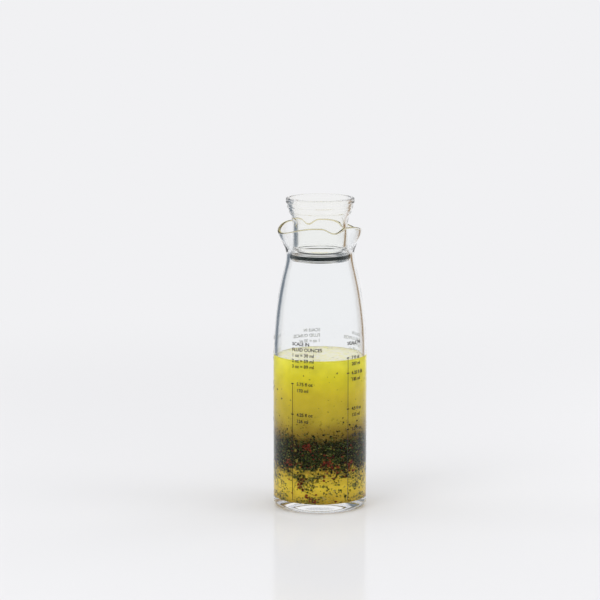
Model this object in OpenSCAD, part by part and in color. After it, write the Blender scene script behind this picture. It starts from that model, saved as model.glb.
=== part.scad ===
// Salad dressing shaker bottle: a glass bottle whose neck flares into a wavy pouring collar with two lips,
// closed by a hollow stopper with a seal ring, and filled with dressing in three layers.
// All sizes are in millimetres. The origin is the middle of the base, +Z points up, and the lips face +Y and -Y.

/* [Bottle body] */
// Outer diameter of the straight part of the body
body_d = 58.5; // [54:0.5:66]
// Thickness of the glass in the body and the neck
wall = 2.2; // [1.6:0.1:3]
// Height above the table at which the shoulder starts to draw in
shoulder_z = 88; // [80:1:100]
// Radius of the rounded edge round the base
heel_r = 3.5; // [2:0.5:5]
// Thickness of the glass in the floor
floor_t = 5.5; // [4:0.1:7]
// Radius of the inner corner between the floor and the wall
floor_corner_r = 4; // [3:0.5:7]
// Diameter of the hollow under the base
punt_d = 42; // [30:1:44]
// Depth of the hollow under the base, which the floor follows
punt_h = 5.5; // [1:0.5:7]

/* [Shoulder and neck] */
// Height of the shoulder, from the straight body to the neck
shoulder_h = 67.5; // [55:0.5:80]
// How late the shoulder draws in: a higher value keeps the body straight for longer
shoulder_curve = 2.4; // [1.8:0.1:3]
// Diameter of the bore in the neck, which the seal grips
neck_bore_d = 37.8; // [35:0.2:40]
// Height of the straight neck
neck_h = 4.5; // [4.4:0.1:8]

/* [Pouring collar] */
// Outer diameter of the collar at its rim
collar_d = 53; // [50:0.5:56]
// Height of the collar, from the neck to the highest part of its rim
collar_h = 18.7; // [16:0.1:22]
// Height over which the collar flares out
flare_h = 14.8; // [11:0.1:16]
// Thickness of the glass at the rim of the collar
collar_wall = 2; // [1.5:0.1:2.4]
// How far the rim sags on the two broad sides
side_dip = 4.5; // [0:0.1:6]
// How far the rim dips at each lip
lip_dip = 2.9; // [0:0.1:4]
// How far each lip stands out past the rest of the rim
lip_out = 1.6; // [0:0.1:2.2]
// Half of the angle that a lip takes up on the rim
lip_half_angle = 18; // [12:1:24]
// Angle from the middle of a lip at which the rim starts to sag
sag_start_angle = 26; // [20:1:40]

/* [Stopper] */
// Height of the whole stopper
stopper_h = 39.2; // [36:0.1:46]
// Outer diameter of the stopper's rim
stopper_rim_d = 42.8; // [40:0.1:46]
// Height of the band round the stopper's rim
rim_band_h = 3.8; // [2.5:0.1:5]
// How far the band stands out from the taper below it
rim_band_step = 0.8; // [0.3:0.1:1.5]
// Height of the taper between the waist and the band
taper_h = 13.2; // [10:0.1:15]
// Outer diameter of the stopper's waist
waist_d = 34.2; // [32:0.1:34.6]
// Thickness of the stopper's wall
stopper_wall = 2.4; // [1.6:0.1:3]
// Thickness of the stopper's floor
stopper_floor = 5.2; // [4.5:0.1:8]
// Height of each flange above and below the seal
flange_h = 1.75; // [1.2:0.05:2.5]
// Depth of the groove that holds the seal, measured from the flanges
groove_depth = 1.6; // [1:0.1:2]
// Height of each raised ring round the taper
ring_relief = 0.35; // [0:0.05:0.6]
// Width of each raised ring round the taper
ring_w = 1.8; // [1.2:0.1:2.4]

/* [Seal] */
// Height of the seal ring
seal_h = 2.4; // [2:0.1:3]
// Height of the seal's lower edge above the bottom of the straight neck
seal_rise = 2.1; // [1:0.1:2.4]
// Size of the small bevels on the seal's edges
seal_bevel = 0.3; // [0.1:0.05:0.5]

/* [Dressing] */
// Height of the dressing's surface above the table
fill_z = 96.5; // [70:0.5:110]
// Height at which the herbs end and the clear oil starts
herb_top_z = 45; // [35:1:60]
// Height at which the vinegar ends and the herbs start
herb_bottom_z = 22.5; // [16:0.5:30]

/* [Clearances] */
// Gap all round between the seal and the neck's bore
seal_gap = 0.06; // [0.02:0.01:0.1]
// Gap all round between the stopper's flanges and the neck's bore
flange_gap = 0.7; // [0.5:0.05:1]
// Gap between the seal and each side of its groove
groove_play = 0.05; // [0.02:0.01:0.1]
// Gap between the dressing and the glass
film_gap = 0.1; // [0.05:0.05:0.3]
// Width of the fine ledge where the collar's glass leaves the neck
collar_ledge = 0.1; // [0.05:0.05:0.3]

/* [Hidden] */

// Fineness of revolved pieces, of profile curves and of the collar's grid
revolve_fn = 180;
arc_steps = 8;
shoulder_steps = 20;
taper_steps = 28;
collar_columns = 96;
collar_rows = 7;
rim_steps = 3;

// Positions and radii that follow from the sizes above
body_r = body_d / 2;
neck_bore_r = neck_bore_d / 2;
neck_r = neck_bore_r + wall;
neck_z = shoulder_z + shoulder_h;
collar_z = neck_z + neck_h;
collar_root = wall * 0.5;
collar_foot_z = collar_z - collar_root;
rim_r = collar_wall / 2;

// The stopper's levels, all measured from its own bottom
flange_r = neck_bore_r - flange_gap;
groove_r = flange_r - groove_depth;
groove_h = seal_h + 2 * groove_play;
upper_flange_z = flange_h + groove_h;
plug_h = upper_flange_z + flange_h;
flange_bevel = flange_h / 2;
waist_r = waist_d / 2;
waist_fillet_h = (flange_r - waist_r) * 1.5;
band_z = stopper_h - rim_band_h;
taper_z = band_z - taper_h;
band_r = stopper_rim_d / 2;
taper_top_r = band_r - rim_band_step;
band_edge = stopper_wall / 3;
cup_corner = stopper_wall;

// The seal and the stopper sit where the seal meets the straight neck
seal_z = neck_z + seal_rise;
stopper_z = seal_z - groove_play - flange_h;

// The inner corner's middle, from which the domed floor starts
corner_x = body_r - wall - floor_corner_r;
corner_z = floor_t + floor_corner_r;
dressing_r = body_r - wall - film_gap;

// Points along part of a circle, from angle a0 to angle a1
function arc(cx, cz, r, a0, a1) = [
    for (i = [0:arc_steps])
        let (a = a0 + (a1 - a0) * i / arc_steps)
        [cx + r * cos(a), cz + r * sin(a)]
];

// Share from 0 to 1 that starts and ends softly
function ease(t) = t * t * (3 - 2 * t);

// Outer radius of the body and the shoulder at height z
function body_radius(z) =
    let (t = max(0, min(1, (z - shoulder_z) / shoulder_h)))
    body_r - (body_r - neck_r) * pow(t, shoulder_curve);

// Radius of the ball that a dome of this height and half width is cut from
function ball_radius(half_width, height) = (pow(half_width, 2) + pow(height, 2)) / (2 * height);

// Outline of the inner floor from the axis out to the wall, a dome and a rounded corner, moved inwards by inset
function floor_outline(inset) =
    let (ball_r = ball_radius(corner_x, punt_h))
    concat(
        [for (i = [0:arc_steps - 1])
            let (x = corner_x * i / arc_steps)
            [x, floor_t + inset + punt_h - ball_r + sqrt(pow(ball_r, 2) - pow(x, 2))]],
        arc(corner_x, corner_z, floor_corner_r - inset, -90, 0)
    );

// The same points in the opposite order
function backwards(points) = [for (i = [len(points) - 1:-1:0]) points[i]];

// Points up the shoulder, each radius reduced by inset
function shoulder_points(inset) = [
    for (i = [0:shoulder_steps])
        let (z = shoulder_z + shoulder_h * i / shoulder_steps)
        [body_radius(z) - inset, z]
];

// Angle on the rim from the middle of the nearer lip, from 0 to 90
function lip_angle(phi) =
    let (m = (phi + 90) % 180)
    min(m, 180 - m);

// Share of a lip's shape at angle phi: 1 in the middle of a lip and 0 outside it
function lip_share(phi) =
    let (a = lip_angle(phi))
    a < lip_half_angle ? pow(cos(90 * a / lip_half_angle), 2) : 0;

// Share of the sag at angle phi: 0 at the shoulders of the rim and 1 in the middle of a broad side
function sag_share(phi) =
    let (a = lip_angle(phi))
    a < sag_start_angle ? 0 : ease((a - sag_start_angle) / (90 - sag_start_angle));

// Height of the rim at angle phi
function rim_z(phi) = collar_z + collar_h - lip_dip * lip_share(phi) - side_dip * sag_share(phi);

// Outer radius of the collar at angle phi and height z
function collar_radius(phi, z) =
    let (rise = max(0, z - collar_z))
    let (flare = pow(sin(90 * min(1, rise / flare_h)), 2))
    let (foot_r = neck_r - collar_ledge)
    foot_r + (collar_d / 2 - foot_r) * flare + lip_out * lip_share(phi) * pow(rise / collar_h, 2);

// Thickness of the collar's glass at share t of the way up its side
function collar_thickness(t) =
    let (foot_wall = wall - 2 * collar_ledge)
    foot_wall + (collar_wall - foot_wall) * t;

// Closed section of the collar at angle phi, from its foot inside the neck's wall: up the outside, over the
// rim, and down the inside
function collar_section(phi) =
    let (top = rim_z(phi) - rim_r)
    let (top_r = collar_radius(phi, top) - rim_r)
    let (level = [for (i = [0:collar_rows]) collar_foot_z + (top - collar_foot_z) * i / collar_rows])
    concat(
        [for (i = [0:collar_rows])
            [collar_radius(phi, level[i]), level[i]]],
        [for (k = [1:rim_steps])
            let (a = 180 * k / (rim_steps + 1))
            [top_r + rim_r * cos(a), top + rim_r * sin(a)]],
        [for (i = [collar_rows:-1:0])
            [collar_radius(phi, level[i]) - collar_thickness(i / collar_rows), level[i]]]
    );

// Surface through one section after another, closed both ways like a ring
module section_ring(sections) {
    columns = len(sections);
    rows = len(sections[0]);
    points = [
        for (c = [0:columns - 1])
            let (phi = 360 * c / columns)
            for (p = sections[c])
                [p[0] * cos(phi), p[0] * sin(phi), p[1]]
    ];
    faces = [
        for (c = [0:columns - 1])
            for (r = [0:rows - 1])
                let (c2 = (c + 1) % columns)
                let (r2 = (r + 1) % rows)
                for (f = [[c * rows + r, c * rows + r2, c2 * rows + r2], [c * rows + r, c2 * rows + r2, c2 * rows + r]])
                    f
    ];
    polyhedron(points, faces, convexity = 6);
}

// The wavy collar with its two lips, which reaches a little way down into the neck's wall
module collar() {
    section_ring([for (c = [0:collar_columns - 1]) collar_section(360 * c / collar_columns)]);
}

// Body, shoulder and neck, revolved round the bottle's axis
module bottle_shell() {
    outside = concat(
        [[0, 0]],
        arc(body_r - heel_r, heel_r, heel_r, -90, 0),
        shoulder_points(0),
        [[neck_r, collar_z]]
    );
    inside = concat(
        [[neck_bore_r, collar_z]],
        backwards(shoulder_points(wall)),
        backwards(floor_outline(0))
    );
    rotate_extrude($fn = revolve_fn)
        polygon(concat(outside, inside));
}

// Hollow under the base, part of a large ball, so that the bottle stands on a ring
module punt() {
    ball_r = ball_radius(punt_d / 2, punt_h);
    translate([0, 0, punt_h - ball_r])
        sphere(r = ball_r, $fn = revolve_fn);
}

module bottle_glass() {
    color([0.84, 0.9, 0.91, 0.4])
        union() {
            difference() {
                bottle_shell();
                punt();
            }
            collar();
        }
}

// Share of a raised ring at height z for a ring centred at height ring_z
function ring_share(z, ring_z) =
    abs(z - ring_z) < ring_w / 2 ? pow(cos(180 * (z - ring_z) / ring_w), 2) : 0;

// Outer radius of the stopper's taper at height z, measured from the stopper's bottom, without the rings
function taper_radius(z) = waist_r + (taper_top_r - waist_r) * ease(max(0, min(1, (z - taper_z) / taper_h)));

// Heights of the two raised rings on the taper
function ring_heights() = [band_z - taper_h * 0.15, band_z - taper_h * 0.43];

// Points up the taper, with the two raised rings
function taper_points() = [
    for (i = [0:taper_steps])
        let (z = taper_z + taper_h * i / taper_steps)
        let (rings = [for (h = ring_heights()) ring_share(z, h)])
        [taper_radius(z) + ring_relief * (rings[0] + rings[1]), z]
];

// The hollow stopper: a grooved plug, a waist, a taper with two rings and a banded rim, open at the top
module stopper_cup() {
    plug = [
        [0, 0],
        [flange_r - flange_bevel, 0],
        [flange_r, flange_bevel],
        [flange_r, flange_h],
        [groove_r, flange_h],
        [groove_r, upper_flange_z],
        [flange_r, upper_flange_z],
        [flange_r, plug_h],
        [waist_r, plug_h + waist_fillet_h]
    ];
    band = concat(
        [[band_r, band_z + rim_band_step]],
        arc(band_r - band_edge, stopper_h - band_edge, band_edge, 0, 90),
        arc(band_r - stopper_wall + band_edge, stopper_h - band_edge, band_edge, 90, 180)
    );
    cup = concat(
        [for (i = [taper_steps:-4:0])
            let (z = taper_z + taper_h * i / taper_steps)
            [taper_radius(z) - stopper_wall, z]],
        arc(waist_r - stopper_wall - cup_corner, stopper_floor + cup_corner, cup_corner, 0, -90),
        [[0, stopper_floor]]
    );
    color([0.9, 0.93, 0.9, 0.45])
        translate([0, 0, stopper_z])
            rotate_extrude($fn = revolve_fn)
                polygon(concat(plug, taper_points(), band, cup));
}

// The seal ring, bevelled at its edges, in the stopper's groove
module stopper_seal() {
    outer_r = neck_bore_r - seal_gap;
    inner_r = groove_r + groove_play;
    color([0.12, 0.14, 0.13])
        translate([0, 0, seal_z])
            rotate_extrude($fn = revolve_fn)
                polygon([
                    [inner_r, 0],
                    [outer_r - seal_bevel, 0],
                    [outer_r, seal_bevel],
                    [outer_r, seal_h - seal_bevel],
                    [outer_r - seal_bevel, seal_h],
                    [inner_r, seal_h]
                ]);
}

// The lowest layer, which fills the domed floor and its rounded corner
module vinegar_layer() {
    color([0.82, 0.68, 0.14, 0.9])
        rotate_extrude($fn = revolve_fn)
            polygon(concat(
                floor_outline(film_gap),
                [[dressing_r, herb_bottom_z], [0, herb_bottom_z]]
            ));
}

// The layer of herbs and chilli that floats between the vinegar and the oil
module herb_layer() {
    color([0.2, 0.27, 0.13])
        translate([0, 0, herb_bottom_z])
            cylinder(r = dressing_r, h = herb_top_z - herb_bottom_z, $fn = revolve_fn);
}

// The clear oil on top, which reaches up into the shoulder
module oil_layer() {
    levels = [for (i = [0:shoulder_steps]) herb_top_z + (fill_z - herb_top_z) * i / shoulder_steps];
    color([0.79, 0.75, 0.16, 0.85])
        rotate_extrude($fn = revolve_fn)
            polygon(concat(
                [[0, herb_top_z]],
                [for (z = levels) [body_radius(z) - wall - film_gap, z]],
                [[0, fill_z]]
            ));
}

bottle_glass();
stopper_cup();
stopper_seal();
vinegar_layer();
herb_layer();
oil_layer();
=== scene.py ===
"""Dresses the salad dressing shaker bottle: clear glass with a wavy two-lipped collar, a hollow stopper with a seal
ring, printed measuring scales, and a dressing of oil, herbs and vinegar.

Everything is in metres, in the packed frame: the origin is the middle of the base and +Z points up.
"""

import math

import bpy
import numpy as np
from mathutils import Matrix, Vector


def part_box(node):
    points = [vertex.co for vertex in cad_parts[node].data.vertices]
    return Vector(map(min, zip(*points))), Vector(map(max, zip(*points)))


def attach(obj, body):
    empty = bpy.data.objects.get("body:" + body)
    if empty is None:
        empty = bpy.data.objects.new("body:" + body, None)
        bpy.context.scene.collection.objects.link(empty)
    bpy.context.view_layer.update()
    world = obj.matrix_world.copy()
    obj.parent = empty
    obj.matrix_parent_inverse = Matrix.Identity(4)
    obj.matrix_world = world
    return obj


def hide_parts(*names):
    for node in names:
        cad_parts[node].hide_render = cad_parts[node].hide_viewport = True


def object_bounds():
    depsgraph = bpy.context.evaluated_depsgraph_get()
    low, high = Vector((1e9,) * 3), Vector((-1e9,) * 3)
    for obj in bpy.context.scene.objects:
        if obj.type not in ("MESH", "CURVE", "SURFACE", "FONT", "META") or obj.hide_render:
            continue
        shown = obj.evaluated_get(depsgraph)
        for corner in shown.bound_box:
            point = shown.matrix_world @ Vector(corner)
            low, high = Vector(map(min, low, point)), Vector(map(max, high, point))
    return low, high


bl_info = {
    "name": "Dressing shaker bottle",
    "version": (1, 0, 0),
    "blender": (4, 5, 0),
    "location": "View3D > Sidebar > Bottle",
    "description": "Makes a glass salad dressing shaker bottle with its stopper, dressing and measuring scales",
    "category": "Add Mesh",
}

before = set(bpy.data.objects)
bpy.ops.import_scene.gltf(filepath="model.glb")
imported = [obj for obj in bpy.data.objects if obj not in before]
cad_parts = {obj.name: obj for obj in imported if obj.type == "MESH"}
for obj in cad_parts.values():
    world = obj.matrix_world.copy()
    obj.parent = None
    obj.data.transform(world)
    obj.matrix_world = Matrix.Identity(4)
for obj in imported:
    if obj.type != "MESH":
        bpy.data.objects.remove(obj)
CAD_LOW, CAD_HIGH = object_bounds()

MM = 0.001
FRONT = math.radians(-109)
GLASS_LOW, GLASS_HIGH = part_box("bottle_glass")
CUP_LOW, CUP_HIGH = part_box("stopper_cup")
SEAL_LOW, SEAL_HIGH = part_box("stopper_seal")
VINEGAR_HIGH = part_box("vinegar_layer")[1]
HERB_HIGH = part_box("herb_layer")[1]
OIL_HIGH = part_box("oil_layer")[1]


def hex_colour(text, alpha=1.0):
    """An sRGB hex value as the linear red, green, blue and alpha that Blender works in."""
    srgb = [int(text[i : i + 2], 16) / 255 for i in (1, 3, 5)]
    linear = [c / 12.92 if c <= 0.04045 else ((c + 0.055) / 1.055) ** 2.4 for c in srgb]
    return (*linear, alpha)


def length(name, description, default):
    """A size in metres, for the sidebar."""
    return bpy.props.FloatProperty(name=name, description=description, default=default, min=0, unit="LENGTH")


def degrees(name, description, default):
    """An angle, given in degrees and kept in radians."""
    return bpy.props.FloatProperty(
        name=name, description=description, default=math.radians(default), unit="ROTATION", subtype="ANGLE"
    )


def colour(name, description, text):
    """A colour, given as an sRGB hex value."""
    return bpy.props.FloatVectorProperty(
        name=name, description=description, default=hex_colour(text), size=4, min=0, max=1, subtype="COLOR"
    )


class GlassSizes(bpy.types.PropertyGroup):
    """Sizes of the glass, as the packed bottle has them."""

    body_r: length("Body radius", "Outer radius of the straight body", GLASS_HIGH[0])
    wall: length("Wall", "Thickness of the glass in the body and neck", 2.2 * MM)
    heel_r: length("Heel radius", "Radius of the edge round the base", 3.5 * MM)
    foot_r: length("Foot fillet", "Radius of the edge between the foot ring and the hollow", 1.2 * MM)
    floor_t: length("Floor", "Thickness of the glass in the floor", 5.5 * MM)
    corner_r: length("Inner corner", "Radius between the inner floor and the wall", 4 * MM)
    punt_r: length("Hollow radius", "Radius of the hollow under the base", 21 * MM)
    punt_h: length("Hollow depth", "Depth of the hollow under the base", 5.5 * MM)
    shoulder_z: length("Shoulder start", "Height at which the body starts to draw in", 88 * MM)
    shoulder_h: length("Shoulder height", "Height from the straight body to the neck", 67.5 * MM)
    shoulder_curve: bpy.props.FloatProperty(
        name="Shoulder curve", description="Higher keeps the body straight for longer", default=2.4
    )
    neck_h: length("Neck height", "Height of the straight neck", 4.5 * MM)
    bore_r: length("Neck bore", "Radius of the bore that the seal grips", 18.9 * MM)
    blend: length("Neck blend", "Softness of the bend between the shoulder and the neck", 0.9 * MM)
    collar_r: length("Collar radius", "Outer radius of the collar's rim", 26.5 * MM)
    collar_wall: length("Rim thickness", "Thickness of the glass at the rim", 2 * MM)
    flare_h: length("Flare height", "Height over which the collar flares out", 14.8 * MM)
    side_dip: length("Side dip", "How far the rim sags on the broad sides", 4.5 * MM)
    lip_dip: length("Lip dip", "How far the rim dips at each lip", 2.9 * MM)
    lip_out: length("Lip reach", "How far each lip stands out", 1.6 * MM)
    lip_angle: degrees("Lip half angle", "Half of the angle that a lip takes up", 18)
    sag_angle: degrees("Sag start", "Angle from a lip at which the rim starts to sag", 26)


class StopperSizes(bpy.types.PropertyGroup):
    """Sizes of the hollow stopper and its seal."""

    rim_r: length("Rim radius", "Outer radius of the stopper's rim", CUP_HIGH[0])
    band_h: length("Band height", "Height of the band round the rim", 3.8 * MM)
    band_step: length("Band step", "How far the band stands out from the taper", 0.8 * MM)
    taper_h: length("Taper height", "Height of the taper under the band", 13.2 * MM)
    waist_r: length("Waist radius", "Outer radius of the waist", 17.1 * MM)
    wall: length("Wall", "Thickness of the stopper's wall", 2.4 * MM)
    floor_t: length("Floor", "Thickness of the stopper's floor", 5.2 * MM)
    flange_r: length("Flange radius", "Radius of the flanges beside the seal", 18.2 * MM)
    flange_h: length("Flange height", "Height of each flange", 1.75 * MM)
    groove_r: length("Groove radius", "Radius at the bottom of the seal's groove", 16.6 * MM)
    ring_relief: length("Ring relief", "Height of the raised rings on the taper", 0.16 * MM)
    ring_w: length("Ring width", "Width of each raised ring", 1.8 * MM)


class DressingSizes(bpy.types.PropertyGroup):
    """Levels of the dressing, and how its herbs and chilli are spread."""

    wetting: length("Wetting", "How far the dressing reaches into the side of the glass, so no film shows", 0.06 * MM)
    lift: length("Lift", "Gap over the floor, whose grazing reflections keep the thick base clear", 0.08 * MM)
    meniscus: length("Meniscus", "How far the surface climbs at the glass", 0.9 * MM)
    herb_count: bpy.props.IntProperty(name="Herb flakes", description="Number of chopped herb flakes", default=11000)
    chilli_count: bpy.props.IntProperty(name="Chilli pieces", description="Number of red pieces", default=90)
    bubble_count: bpy.props.IntProperty(name="Bubbles", description="Number of bubbles on the surface", default=70)


class PrintSizes(bpy.types.PropertyGroup):
    """The printed measuring scales."""

    pitch: length("Ounce pitch", "Height of one fluid ounce in the straight body", 12.87 * MM)
    zero_z: length("Zero height", "Height of the scales' zero", 7.9 * MM)
    line_w: length("Line width", "Width of a scale's upright line", 0.36 * MM)
    tick_w: length("Tick width", "Width of a tick", 1.9 * MM)
    tick_h: length("Tick height", "Height of a tick", 0.65 * MM)
    ink: length("Ink", "Thickness of the printed ink", 0.05 * MM)
    text_h: length("Text height", "Height of a printed figure", 2.0 * MM)
    row_h: length("Row height", "Height from one row of figures to the next", 3.5 * MM)
    heading_z: length("Heading height", "Height of the first row over each scale", 106 * MM)
    first: degrees("First scale", "Where the first scale stands, round from the right-hand side", -145)
    count: bpy.props.IntProperty(name="Scales", description="Number of scales round the body", default=5)


class Finishes(bpy.types.PropertyGroup):
    """Colours of the materials."""

    glass: colour("Glass", "Tint of the glass", "#FDFEFE")
    rim: colour("Fire-polished rim", "Amber tint that shows in the thick edge of the rim", "#CFC18C")
    acrylic: colour("Acrylic", "Tint of the stopper", "#FEFEFC")
    silicone: colour("Silicone", "Charcoal of the seal ring", "#1E2725")
    oil: colour("Oil", "Clear oil just under the surface", "#F6EF52")
    cloudy_oil: colour("Cloudy oil", "Oil that is clouded by spice", "#C9B53E")
    herb: colour("Herbs", "Wet chopped herbs", "#2A2413")
    vinegar: colour("Vinegar", "Golden vinegar under the herbs", "#F0D648")
    chilli: colour("Chilli", "Chopped red chilli", "#762216")
    ink: colour("Ink", "Printed marks on the glass", "#1D1C1A")
    floor: colour("Floor", "Pale floor", "#E4E4E6")
    backdrop: colour("Backdrop", "Pale backdrop", "#F1F1F3")


GROUPS = {
    "bottle_glass_sizes": GlassSizes,
    "bottle_stopper_sizes": StopperSizes,
    "bottle_dressing_sizes": DressingSizes,
    "bottle_print_sizes": PrintSizes,
    "bottle_finishes": Finishes,
}


def sizes(name):
    """The scene's property group of that name."""
    return getattr(bpy.context.scene, name)


# Shapes


def ease(t):
    """Share from 0 to 1 that starts and ends softly: three squares less two cubes."""
    t = np.clip(t, 0, 1)
    return t * t * (3 - 2 * t)


def arc(cx, cz, r, a0, a1, steps):
    """Points on a circle round (cx, cz), at even angles from a0 to a1 in degrees."""
    a = np.radians(np.linspace(a0, a1, steps))
    return np.column_stack([cx + r * np.cos(a), cz + r * np.sin(a)])


def line(x0, z0, x1, z1, steps):
    """Evenly spaced points on a straight line, without its last point."""
    t = np.linspace(0, 1, steps, endpoint=False)[:, None]
    return np.array([[x0, z0]]) * (1 - t) + np.array([[x1, z1]]) * t


def dome(x, half_width, height):
    """Height over its edge of a ball's cap of that half width and height, at distance x from its middle."""
    ball_r = (half_width**2 + height**2) / (2 * height)
    return height - ball_r + np.sqrt(ball_r**2 - np.minimum(x, half_width) ** 2)


def lip_shape(s, phi):
    """(lip share, sag share) at angles phi. Lips lie on the Y axis: the angle from the nearer lip is folded to a
    quarter turn, a lip is a squared cosine within its half angle, and the sag eases in past the rim's shoulders."""
    away = np.abs((phi - math.pi / 2 + math.pi / 2) % math.pi - math.pi / 2)
    lip = np.where(away < s.lip_angle, np.cos(math.pi / 2 * np.minimum(away / s.lip_angle, 1)) ** 2, 0)
    return lip, ease((away - s.sag_angle) / (math.pi / 2 - s.sag_angle))


def outer_radius(s, z):
    """Radius of the outside up to the neck: the body less a power curve up the shoulder, which meets the neck in a
    soft bend, the mean of a line and its distance from the corner."""
    neck_r = s.bore_r + s.wall
    t = np.maximum(z - s.shoulder_z, 0) / s.shoulder_h
    over = (s.body_r - neck_r) * (1 - t**s.shoulder_curve)
    soft = (over + np.sqrt(over**2 + s.blend**2)) / 2
    return np.minimum(neck_r + soft, s.body_r)


def collar_radius(s, z, lip):
    """Outer radius of the collar: from the neck it flares by a squared sine, and a lip leans out by the square of
    the height."""
    neck_z = s.shoulder_z + s.shoulder_h + s.neck_h
    rise = np.maximum(z - neck_z, 0)
    base = outer_radius(s, np.minimum(z, neck_z))
    flare = np.sin(math.pi / 2 * np.minimum(rise / s.flare_h, 1)) ** 2
    collar_h = GLASS_HIGH[2] - neck_z
    return base + (s.collar_r - base) * flare + s.lip_out * lip * (rise / collar_h) ** 2


def closed_surface(radii, heights, angles):
    """Vertices and faces of a surface given by radius and height on a grid of (angle, step along the section). Each
    point is (r cos a, r sin a, h). Sections start and end on the axis, where a single point closes the pole."""
    columns, rows = radii.shape
    inner_r, inner_h = radii[:, 1:-1], heights[:, 1:-1]
    a = angles[:, None]
    ring = np.stack([inner_r * np.cos(a), inner_r * np.sin(a), inner_h], axis=2).reshape(-1, 3)
    poles = np.array([[0, 0, heights[0, 0]], [0, 0, heights[0, -1]]])
    verts = np.vstack([ring, poles])
    rows -= 2
    first, last = len(ring), len(ring) + 1
    c, r = np.meshgrid(np.arange(columns), np.arange(rows - 1), indexing="ij")
    c2 = (c + 1) % columns
    quads = np.stack([c * rows + r, c2 * rows + r, c2 * rows + r + 1, c * rows + r + 1], axis=2).reshape(-1, 4)
    c = np.arange(columns)
    c2 = (c + 1) % columns
    start = np.column_stack([np.full(columns, first), c2 * rows, c * rows])
    end = np.column_stack([np.full(columns, last), c * rows + rows - 1, c2 * rows + rows - 1])
    return verts, quads, np.vstack([start, end])


def ring_surface(radii, heights, angles):
    """The same for a section that is a closed loop, such as a seal ring's."""
    columns, rows = radii.shape
    a = angles[:, None]
    verts = np.stack([radii * np.cos(a), radii * np.sin(a), heights], axis=2).reshape(-1, 3)
    c, r = np.meshgrid(np.arange(columns), np.arange(rows), indexing="ij")
    c2, r2 = (c + 1) % columns, (r + 1) % rows
    quads = np.stack([c * rows + r, c2 * rows + r, c2 * rows + r2, c * rows + r2], axis=2).reshape(-1, 4)
    return verts, quads, np.zeros((0, 3), int)


def make_piece(name, verts, quads, tris, materials, slots=None, smooth=True):
    """A mesh object at the origin from arrays of points, quads and triangles, with a material slot for each face."""
    mesh = bpy.data.meshes.new(name)
    loops = np.concatenate([quads.ravel(), tris.ravel()]).astype(np.int32)
    counts = np.concatenate([np.full(len(quads), 4), np.full(len(tris), 3)]).astype(np.int32)
    starts = np.concatenate([[0], np.cumsum(counts)[:-1]]).astype(np.int32)
    mesh.vertices.add(len(verts))
    mesh.vertices.foreach_set("co", np.asarray(verts, np.float32).ravel())
    mesh.loops.add(len(loops))
    mesh.loops.foreach_set("vertex_index", loops)
    mesh.polygons.add(len(counts))
    mesh.polygons.foreach_set("loop_start", starts)
    if slots is not None:
        mesh.polygons.foreach_set("material_index", np.asarray(slots, np.int32))
    mesh.polygons.foreach_set("use_smooth", np.full(len(counts), smooth))
    mesh.update(calc_edges=True)
    mesh.validate()
    for material in materials:
        mesh.materials.append(material)
    piece = bpy.data.objects.new(name, mesh)
    bpy.context.scene.collection.objects.link(piece)
    return piece


def even_angles(columns):
    """Angles of the columns of a revolved surface."""
    return np.linspace(0, 2 * math.pi, columns, endpoint=False)


def revolve(name, section, columns, materials, slots=None):
    """A piece made by turning a section of (radius, height) points round the Z axis."""
    angles = even_angles(columns)
    radii = np.repeat(section[None, :, 0], columns, axis=0)
    heights = np.repeat(section[None, :, 1], columns, axis=0)
    on_axis = section[0, 0] < 1e-9 and section[-1, 0] < 1e-9
    verts, quads, tris = (closed_surface if on_axis else ring_surface)(radii, heights, angles)
    return make_piece(name, verts, quads, tris, materials, slots)


# Materials


def new_material(name):
    """An empty node material and its output."""
    material = bpy.data.materials.new(name)
    material.use_nodes = True
    material.node_tree.nodes.clear()
    return material, add(material.node_tree, "OutputMaterial")


def add(tree, kind, settings=None, **links):
    """Adds a shader node. settings are its attributes, and links are its inputs by name or number, each a value or an
    output socket. An underscore in a name stands for a space, and in0, in1 stand for the first inputs."""
    node = tree.nodes.new("ShaderNode" + kind)
    for key, value in (settings or {}).items():
        setattr(node, key, value)
    for key, value in links.items():
        socket = node.inputs[int(key[2:]) if key[:2] == "in" and key[2:].isdigit() else key.replace("_", " ")]
        if isinstance(value, bpy.types.NodeSocket):
            tree.links.new(value, socket)
        else:
            socket.default_value = value
    return node


def object_point(tree):
    """Object coordinates, in metres."""
    return add(tree, "TexCoord").outputs["Object"]


def noise(tree, point, size, detail=2.0, roughness=0.5):
    """Smooth noise whose blobs are about size across, in metres."""
    return add(tree, "TexNoise", Vector=point, Scale=1 / size, Detail=detail, Roughness=roughness).outputs["Fac"]


def ramp(tree, factor, stops):
    """Colours along a factor, from a list of (place, colour)."""
    node = add(tree, "ValToRGB", Fac=factor)
    elements = node.color_ramp.elements
    while len(elements) < len(stops):
        elements.new(0.5)
    for element, (place, tint) in zip(elements, stops):
        element.position = place
        element.color = tint
    return node.outputs["Color"]


def math_node(tree, operation, a, b=0.0, clamp=False):
    """One arithmetic step."""
    return add(tree, "Math", {"operation": operation, "use_clamp": clamp}, in0=a, in1=b).outputs[0]


def mix_colour(tree, factor, a, b, blend="MIX"):
    """One colour over another."""
    node = add(tree, "Mix", {"data_type": "RGBA", "blend_type": blend}, in0=factor, in6=a, in7=b)
    return node.outputs[2]


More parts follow.
